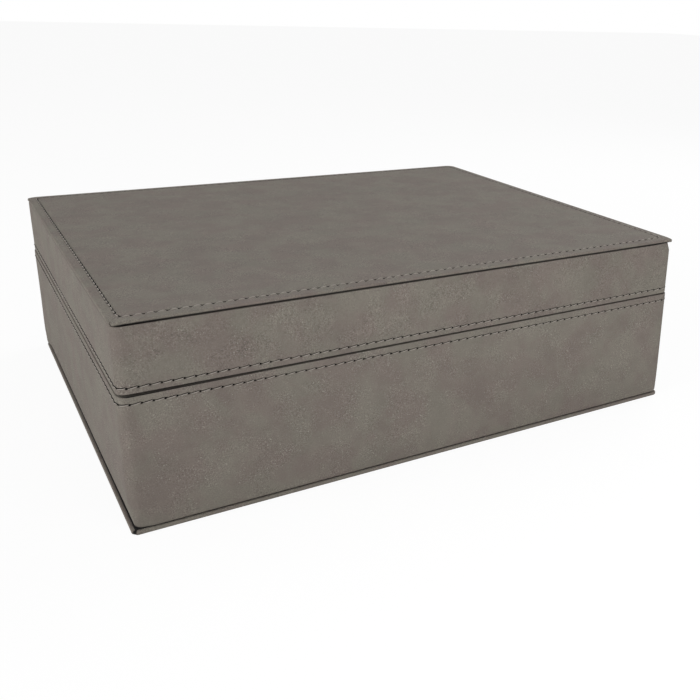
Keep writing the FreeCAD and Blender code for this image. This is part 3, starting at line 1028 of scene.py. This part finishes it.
def swollen(pad, side, sizes):
    """Points of the pad after its cover is blown up, with the back and the sides held."""
    start = read_points(pad.data)
    front = start[:, 2].max() if side > 0 else start[:, 2].min()
    held = pad.vertex_groups.new(name="held")
    fixed = np.flatnonzero(np.abs(start[:, 2] - front) > 0.2 * sizes.pad_edge)
    held.add([int(index) for index in fixed], 1.0, "REPLACE")
    cloth = pad.modifiers.new("Blown up", "CLOTH")
    for key, value in CLOTH.items():
        setattr(cloth.settings, key, value)
    cloth.settings.vertex_group_mass = held.name
    cloth.settings.effector_weights.gravity = 0
    scene = bpy.context.scene
    for moment in range(CLOTH_MOMENTS):
        scene.frame_set(moment + 1)
    evaluated = pad.evaluated_get(bpy.context.evaluated_depsgraph_get())
    moved = read_points(evaluated.to_mesh()) - start
    evaluated.to_mesh_clear()
    pad.modifiers.clear()
    pad.vertex_groups.clear()
    scene.frame_set(1)
    height = np.maximum(moved[:, 2] * side, 0)
    moved[:, 2] = side * sizes.pad_swell * height / np.sqrt(height ** 2 + sizes.pad_swell ** 2)
    moved[:, :2] = np.clip(moved[:, :2], -0.3 * MM, 0.3 * MM)
    return start + moved


def room_pad(body, material, sizes):
    """Soft pad that fills the floor or the ceiling of the room."""
    place, side, fill = PADS[body]
    node = f"{body}_{place}_pad"
    low, high = span(node)
    gap = np.array([sizes.pad_gap, sizes.pad_gap, 0])
    pad = soft_block(f"{place}_cushion", low + gap, high - gap, sizes.pad_edge,
                     sizes.pad_cell)
    closed_and_outward(pad)
    points = swollen(pad, side, sizes)
    write_points(pad.data, points)
    rounder = pad.modifiers.new("Softer", "SUBSURF")
    rounder.levels = rounder.render_levels = 1
    as_evaluated(pad)
    for face in pad.data.polygons:
        face.use_smooth = True
    finish_piece(pad, body, material, [node])


def times(tone, factor):
    """Colour made paler or darker."""
    return [factor * value for value in tone]


class Finish(Graph):
    """Node material that is being built on the object's own coordinates."""

    def __init__(self, name):
        self.material = bpy.data.materials.new(name)
        self.material.use_nodes = True
        super().__init__(self.material.node_tree)
        self.place = self.node("ShaderNodeTexCoord").outputs["Object"]

    def mapped(self, **inputs):
        """Coordinates that are shifted or stretched."""
        return self.node("ShaderNodeMapping", {"Vector": self.place, **inputs}).outputs[0]

    def noise(self, scale, detail, roughness, distortion=0.0, place=None):
        """Value of a noise pattern."""
        return self.node("ShaderNodeTexNoise", {
            "Vector": self.place if place is None else place, "Scale": scale,
            "Detail": detail, "Roughness": roughness, "Distortion": distortion}).outputs["Fac"]

    def ramp(self, value, low, high, start=0.0, end=1.0):
        """Value mapped smoothly from one range to another."""
        return self.node("ShaderNodeMapRange", {
            "Value": value, "From Min": low, "From Max": high, "To Min": start,
            "To Max": end}, interpolation_type="SMOOTHSTEP").outputs["Result"]

    def mixed(self, first, share, second, rest):
        """Two patterns added by their shares."""
        return self.number("MULTIPLY_ADD", first, share, self.product(second, rest))

    def blend(self, share, first, second):
        """Mix of two colours."""
        tones = [tone if isinstance(tone, (bpy.types.Node, bpy.types.NodeSocket))
                 else (*tuple(tone)[:3], 1) for tone in (first, second)]
        return self.node("ShaderNodeMix", {0: share, 6: tones[0], 7: tones[1]},
                         data_type="RGBA").outputs[2]

    def done(self, tone, rough, bump=None, **plain):
        """Finished material: its colour, its roughness, its bump and plain values."""
        shader = self.tree.nodes["Principled BSDF"]
        self.feed(shader, {"Base Color": tone, "Roughness": rough})
        self.feed(shader, {key.replace("_", " "): value for key, value in plain.items()})
        if bump:
            height, strength, distance = bump
            self.feed(shader, {"Normal": self.node("ShaderNodeBump", {
                "Height": height, "Strength": strength, "Distance": distance})})
        return self.material


def leatherette(name, colours):
    """Brushed leatherette: cloudy colour, fine nap with flecks, painted shade from an
    attribute.
    """
    new = Finish(f"leatherette_{name}")
    new.place = new.mapped(Location=PATTERN_SHIFTS[name])
    clouds, patches = new.noise(34, 7, 0.62, 0.5), new.noise(90, 6, 0.65, 0.4)
    mixed = new.mixed(patches, 0.4, clouds, 0.6)
    hue = new.ramp(new.noise(52, 5, 0.6, 0.3), 0.38, 0.62)
    tone = new.blend(hue, colours.leather, colours.leather_cloud)
    grain, nap = new.noise(1500, 3, 0.65), new.noise(2700, 2, 0.6)
    height = new.mixed(nap, 0.4, grain, 0.6)
    rough_spots = new.ramp(new.noise(70, 5, 0.65), 0.40, 0.62, 0.25, 1.0)
    speckle = new.number("SUBTRACT", new.ramp(height, 0.36, 0.64), 0.5)
    speckle = new.product(new.product(speckle, 0.6), rough_spots)
    light = new.number("ADD", new.ramp(mixed, 0.36, 0.64, 0.93, 1.07), speckle)
    tone = new.arrow("SCALE", tone, light)
    flecks = new.ramp(new.noise(1700, 2, 0.5), 0.62, 0.70)
    tone = new.blend(new.product(flecks, rough_spots), tone, colours.leather_fleck)
    # Painted shade in holes, creases, folds and the parting gap, and darkened mitres and
    # joints.
    shade = new.node("ShaderNodeAttribute", attribute_name="seam_shade").outputs["Fac"]
    tone = new.blend(shade, tone, colours.needle_hole)
    return new.done(tone, new.ramp(mixed, 0.35, 0.65, 0.78, 0.88), (height, 0.8, 0.0004),
                    Specular_IOR_Level=0.12, Sheen_Weight=0.04, Sheen_Roughness=0.5)


def thread_finish(colours):
    """Spun sewing thread with fine fibres."""
    new = Finish("sewing_thread")
    fibres = new.noise(3200, 3, 0.7)
    mixed = new.mixed(fibres, 0.7, new.noise(240, 2, 0.5), 0.3)
    tone = new.blend(new.ramp(mixed, 0.35, 0.7), colours.thread, times(colours.thread, 1.35))
    return new.done(tone, new.ramp(fibres, 0.3, 0.7, 0.6, 0.8), (fibres, 0.5, 0.0001),
                    Sheen_Weight=0.2)


def painted_shade_finish(colours):
    """Near-black painted shade for the needle holes and the lines beside the threads."""
    new = Finish("needle_hole")
    fuzz = new.noise(2600, 2, 0.6)
    tone = new.blend(new.ramp(fuzz, 0.35, 0.75), colours.needle_hole,
                     times(colours.needle_hole, 2.5))
    return new.done(tone, new.ramp(fuzz, 0.2, 0.8, 0.85, 1.0), Specular_IOR_Level=0.1)


def velour(colours):
    """Short-pile velour: dark, with a soft sheen and brushed patches."""
    new = Finish("velour")
    pile, brushed = new.noise(2400, 3, 0.7), new.noise(24, 4, 0.55, 0.8)
    share = new.mixed(new.ramp(brushed, 0.4, 0.65), 0.5, pile, 0.4)
    tone = new.blend(share, colours.lining, times(colours.lining, 2.4))
    return new.done(tone, new.ramp(brushed, 0.3, 0.7, 0.85, 0.95), (pile, 0.6, 0.0003),
                    Sheen_Weight=0.5, Sheen_Roughness=0.35, Specular_IOR_Level=0.2)


def fibreboard(colours):
    """Raw fibreboard: pale brown with short pressed fibres."""
    new = Finish("fibreboard")
    fibres = new.noise(900, 5, 0.7, 0.4, new.mapped(Scale=(1.0, 1.0, 3.0)))
    share = new.mixed(fibres, 0.7, new.noise(60, 3, 0.5), 0.3)
    tone = new.blend(new.ramp(share, 0.35, 0.65), times(colours.fibreboard, 0.72),
                     colours.fibreboard)
    return new.done(tone, new.ramp(fibres, 0.3, 0.7, 0.75, 0.9), (fibres, 0.4, 0.0002))


def greyboard(colours):
    """Raw grey board: pressed pulp with darker specks."""
    new = Finish("greyboard")
    pulp = new.noise(1400, 4, 0.65)
    specks = new.ramp(new.noise(900, 2, 0.5), 0.66, 0.74)
    tone = new.blend(new.ramp(pulp, 0.3, 0.7), colours.greyboard,
                     times(colours.greyboard, 1.12))
    tone = new.blend(new.product(specks, 0.6), tone, times(colours.greyboard, 0.45))
    return new.done(tone, new.ramp(pulp, 0.3, 0.7, 0.8, 0.95), (pulp, 0.35, 0.00015))


def nickel(name, colours, stretch, fineness, rough):
    """Plated metal, brushed along its length or bright."""
    new = Finish(name)
    scratches = new.noise(fineness, 3, 0.6, place=new.mapped(Scale=(stretch, 1.0, 1.0)))
    smudges = new.noise(180, 3, 0.55)
    tone = new.blend(new.ramp(smudges, 0.35, 0.65), times(colours.nickel, 0.8),
                     colours.nickel)
    return new.done(tone, new.ramp(scratches, 0.3, 0.7, *rough), (scratches, 0.15, 0.00005),
                    Metallic=1.0)


def settings():
    """Sizes and colours of the box that is being made."""
    return [getattr(bpy.context.scene, name) for name in GROUPS]


def dress_nodes(names, material):
    """Give CAD nodes that stay visible their finish."""
    for name in names:
        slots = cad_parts[name].data.materials
        slots.clear()
        slots.append(material)


class GIFTBOX_OT_wall_covers(bpy.types.Operator):
    """Draw the leatherette round the walls of the base and of the lid"""

    bl_idname = "giftbox.wall_covers"
    bl_label = "Wall Covers"

    def execute(self, context):
        covers, seams, _, colours, _ = settings()
        cutter = hinge_cutter()
        for body in ("base", "lid"):
            cover = wall_cover(body, covers, seams)
            let_in_hinges(cover, cutter)
            finish_piece(cover, body, leatherette(f"{body}_walls", colours),
                         [f"{body}_wall_wrap"])
        bpy.data.objects.remove(cutter)
        return {"FINISHED"}


class GIFTBOX_OT_board_covers(bpy.types.Operator):
    """Wrap the top and bottom boards in leatherette"""

    bl_idname = "giftbox.board_covers"
    bl_label = "Board Covers"

    def execute(self, context):
        covers, seams, _, colours, _ = settings()
        for body, name, crease in (("lid", "top", (covers.board_crease, -MM)),
                                   ("base", "bottom", (0.12 * MM, 1.1 * MM))):
            finish_piece(board_cover(body, crease, covers, seams), body,
                         leatherette(name, colours), [f"{body}_board_wrap"])
        return {"FINISHED"}


class GIFTBOX_OT_sewn_rows(bpy.types.Operator):
    """Sew the rows below and above the parting and round the top"""

    bl_idname = "giftbox.sewn_rows"
    bl_label = "Sewn Rows"

    def execute(self, context):
        covers, seams, _, colours, _ = settings()
        tree = sewn_row_tree()
        common = {"Thread": seams.thread, "Rise": seams.rise, "Dip": seams.dip,
                  "Slant": seams.slant, "Crease": seams.crease,
                  "Left crease": seams.left_crease, "Hole length": seams.hole_length,
                  "Hole width": seams.hole_width, "Unevenness": 0.09 * MM,
                  "Thread finish": thread_finish(colours),
                  "Hole finish": painted_shade_finish(colours)}
        for body in ("base", "lid"):
            low, high = span(f"{body}_wall_stitching")
            outline, stitches, _, first_hole = wall_row(body, covers, seams)
            self.sew(body, "wall", tree, outline, {
                **common, "Centre": (0.0, 0.0, (low[2] + high[2]) / 2),
                "Stitches": stitches, "First hole": first_hole,
                "Stand-off": own(covers, body, "fullness")})
        path, centre, pitch = board_row_path(seams)
        self.sew("lid", "board", tree, path, {
            **common, "Centre": (0.0, centre[1], span("lid_board_wrap")[1][2]),
            "Stitches": round(path.length / pitch), "First hole": 0.0, "Stand-off": 0.0,
            "On the board": True, "Slant": seams.board_slant,
            "Crease": 0.8 * seams.crease, "Left crease": 1.5 * seams.left_crease})
        bpy.data.node_groups.remove(tree)
        return {"FINISHED"}

    def sew(self, body, part, tree, path, values):
        """Make one sewn row and let it stand for its CAD ring."""
        values = {"Width": 2 * path.half[0], "Depth": 2 * path.half[1],
                  "Corner": path.radius, "On the board": False, **values}
        row = run_tree(f"{body}_{part}_thread", tree, values)
        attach(row, body)
        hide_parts(f"{body}_{part}_stitching")


class GIFTBOX_OT_linings(bpy.types.Operator):
    """Line the walls of the base and of the lid with velour panels"""

    bl_idname = "giftbox.linings"
    bl_label = "Linings"

    def execute(self, context):
        _, _, soft, colours, _ = settings()
        material = velour(colours)
        for body in ("base", "lid"):
            for side in SIDES:
                lining_panel(body, side, material, soft)
        return {"FINISHED"}


class GIFTBOX_OT_pads(bpy.types.Operator):
    """Lay the floor pad and fix the ceiling pad"""

    bl_idname = "giftbox.pads"
    bl_label = "Pads"

    def execute(self, context):
        _, _, soft, colours, _ = settings()
        material = bpy.data.materials.get("velour") or velour(colours)
        for body in PADS:
            room_pad(body, material, soft)
        return {"FINISHED"}


class GIFTBOX_OT_cores(bpy.types.Operator):
    """Finish the wooden cores, the boards, the hinges, the screws and the magnets"""

    bl_idname = "giftbox.cores"
    bl_label = "Cores and Hardware"

    def execute(self, context):
        covers, seams, _, colours, _ = settings()
        wood = fibreboard(colours)
        for body, pared in PARED_SIDES.items():
            outline = wall_row(body, covers, seams)[0]
            dress_nodes([f"{body}_{side}_wall" for side in SIDES if side not in pared], wood)
            for side in pared:
                finish_piece(pared_wall(body, side, outline, covers), body,
                             wood, [f"{body}_{side}_wall"])
        dress_nodes(["base_board", "lid_board"], greyboard(colours))
        hinges = [f"{side}_hinge_{part}" for side in ("left", "right")
                  for part in ("base_leaf", "lid_leaf", "pin")]
        dress_nodes(hinges + ["base_hinge_screws", "lid_hinge_screws"],
                    nickel("satin_nickel", colours, 0.04, 6000, (0.28, 0.42)))
        dress_nodes(["base_magnets", "lid_magnets"],
                    nickel("bright_nickel", colours, 1.0, 500, (0.1, 0.2)))
        return {"FINISHED"}


def seen_white(graph, plain, white):
    """Shader that is white to the camera, to reflections and through glass."""
    path = graph.node("ShaderNodeLightPath").outputs
    seen = graph.number("MAXIMUM", path["Is Camera Ray"], path["Is Glossy Ray"])
    seen = graph.number("MAXIMUM", seen, path["Is Transmission Ray"])
    return graph.node("ShaderNodeMixShader", {0: seen, 1: plain, 2: white})


def floor_finish(stage):
    """Pale floor that is white where nothing shades it."""
    made = bpy.data.materials.new("pale_floor")
    made.use_nodes = True
    graph = Graph(made.node_tree)
    graph.tree.nodes.clear()
    soft = [value * (1 - stage.floor_lift) * FLOOR_SHADE for value in stage.floor_colour]
    plain = graph.node("ShaderNodeBsdfDiffuse", {"Color": (*stage.floor_colour, 1)})
    shaded = graph.node("ShaderNodeBsdfDiffuse", {"Color": (*soft, 1)})
    glow = graph.node("ShaderNodeEmission", {"Strength": stage.floor_lift})
    lit = graph.node("ShaderNodeAddShader", {0: shaded, 1: glow})
    graph.node("ShaderNodeOutputMaterial", {"Surface": seen_white(graph, plain, lit)})
    return made


def white_world(stage):
    """Even soft light, white where it is seen."""
    world = bpy.data.worlds.new("soft_light")
    world.use_nodes = True
    graph = Graph(world.node_tree)
    graph.tree.nodes.clear()
    plain, white = [graph.node("ShaderNodeBackground", {"Color": (1, 1, 1, 1),
                                                        "Strength": strength})
                    for strength in (stage.sky_light, 1.0)]
    graph.node("ShaderNodeOutputWorld", {"Surface": seen_white(graph, plain, white)})
    return world


def area_lamp(name, place, target, power, side):
    """Soft square lamp that looks at a point."""
    data = bpy.data.lights.new(name, "AREA")
    data.shape = "RECTANGLE"
    data.size = data.size_y = side
    data.energy = power
    lamp = link(bpy.data.objects.new(name, data))
    lamp.location = place
    lamp.visible_camera = False
    lamp.rotation_mode = "QUATERNION"
    lamp.rotation_quaternion = (Vector(target) - Vector(place)).to_track_quat("-Z", "Y")


def photo_camera(stage):
    """Camera at the photograph's viewing angle."""
    azimuth, elevation = stage.camera_azimuth, stage.camera_elevation
    roll = stage.camera_roll
    back = Vector((math.sin(azimuth) * math.cos(elevation),
                   -math.cos(azimuth) * math.cos(elevation), math.sin(elevation)))
    right = (-back).cross(Vector((0, 0, 1))).normalized()
    up = right.cross(-back)
    rolled_right = right * math.cos(roll) + up * math.sin(roll)
    rolled_up = up * math.cos(roll) - right * math.sin(roll)
    data = bpy.data.cameras.new("photo_camera")
    data.sensor_width = 36
    data.lens = stage.lens
    data.shift_x, data.shift_y = stage.shift_x, stage.shift_y
    camera = link(bpy.data.objects.new("photo_camera", data))
    turn = Matrix((rolled_right, rolled_up, back)).transposed().to_4x4()
    camera.matrix_world = Matrix.Translation(Vector(stage.camera_place)) @ turn
    return camera


class GIFTBOX_OT_stage(bpy.types.Operator):
    """Set up the floor, the soft light and the camera"""

    bl_idname = "giftbox.stage"
    bl_label = "Stage"

    def execute(self, context):
        stage = settings()[-1]
        corners = [(x * FLOOR_REACH, y * FLOOR_REACH, 0)
                   for x, y in ((-1, -1), (1, -1), (1, 1), (-1, 1))]
        floor = mesh_object("floor", corners, [(0, 1, 2, 3)])
        floor.data.materials.append(floor_finish(stage))
        scene = context.scene
        scene.world = white_world(stage)
        for name, (place, target, side) in LAMPS.items():
            area_lamp(name, place, target, getattr(stage, name), side)
        scene.camera = photo_camera(stage)
        scene.view_settings.view_transform = "Standard"
        return {"FINISHED"}


class GIFTBOX_PT_panel(bpy.types.Panel):
    """Makers of the gift box"""

    bl_idname = "GIFTBOX_PT_panel"
    bl_label = "Gift Box"
    bl_space_type = "VIEW_3D"
    bl_region_type = "UI"
    bl_category = "Gift Box"

    def draw(self, context):
        for operator in OPERATORS:
            self.layout.operator(operator.bl_idname)


GROUPS = {"gift_box_covers": CoverSizes, "gift_box_seams": SeamSizes,
          "gift_box_soft": SoftSizes, "gift_box_finishes": Finishes,
          "gift_box_stage": StageSettings}
OPERATORS = (GIFTBOX_OT_stage, GIFTBOX_OT_wall_covers, GIFTBOX_OT_board_covers,
             GIFTBOX_OT_sewn_rows, GIFTBOX_OT_linings, GIFTBOX_OT_pads, GIFTBOX_OT_cores)


def register():
    """Make the settings, the operators and the panel known."""
    for name, group in GROUPS.items():
        bpy.utils.register_class(group)
        setattr(bpy.types.Scene, name, bpy.props.PointerProperty(type=group))
    for operator in OPERATORS:
        bpy.utils.register_class(operator)
    bpy.utils.register_class(GIFTBOX_PT_panel)


def unregister():
    """Forget the panel, the operators and the settings."""
    bpy.utils.unregister_class(GIFTBOX_PT_panel)
    for operator in reversed(OPERATORS):
        bpy.utils.unregister_class(operator)
    for name, group in reversed(GROUPS.items()):
        delattr(bpy.types.Scene, name)
        bpy.utils.unregister_class(group)


def main():
    """Make the box piece by piece."""
    register()
    bpy.ops.giftbox.stage()
    bpy.ops.giftbox.wall_covers()
    bpy.ops.giftbox.board_covers()
    bpy.ops.giftbox.sewn_rows()
    bpy.ops.giftbox.linings()
    bpy.ops.giftbox.pads()
    bpy.ops.giftbox.cores()


if __name__ == "__main__":
    main()
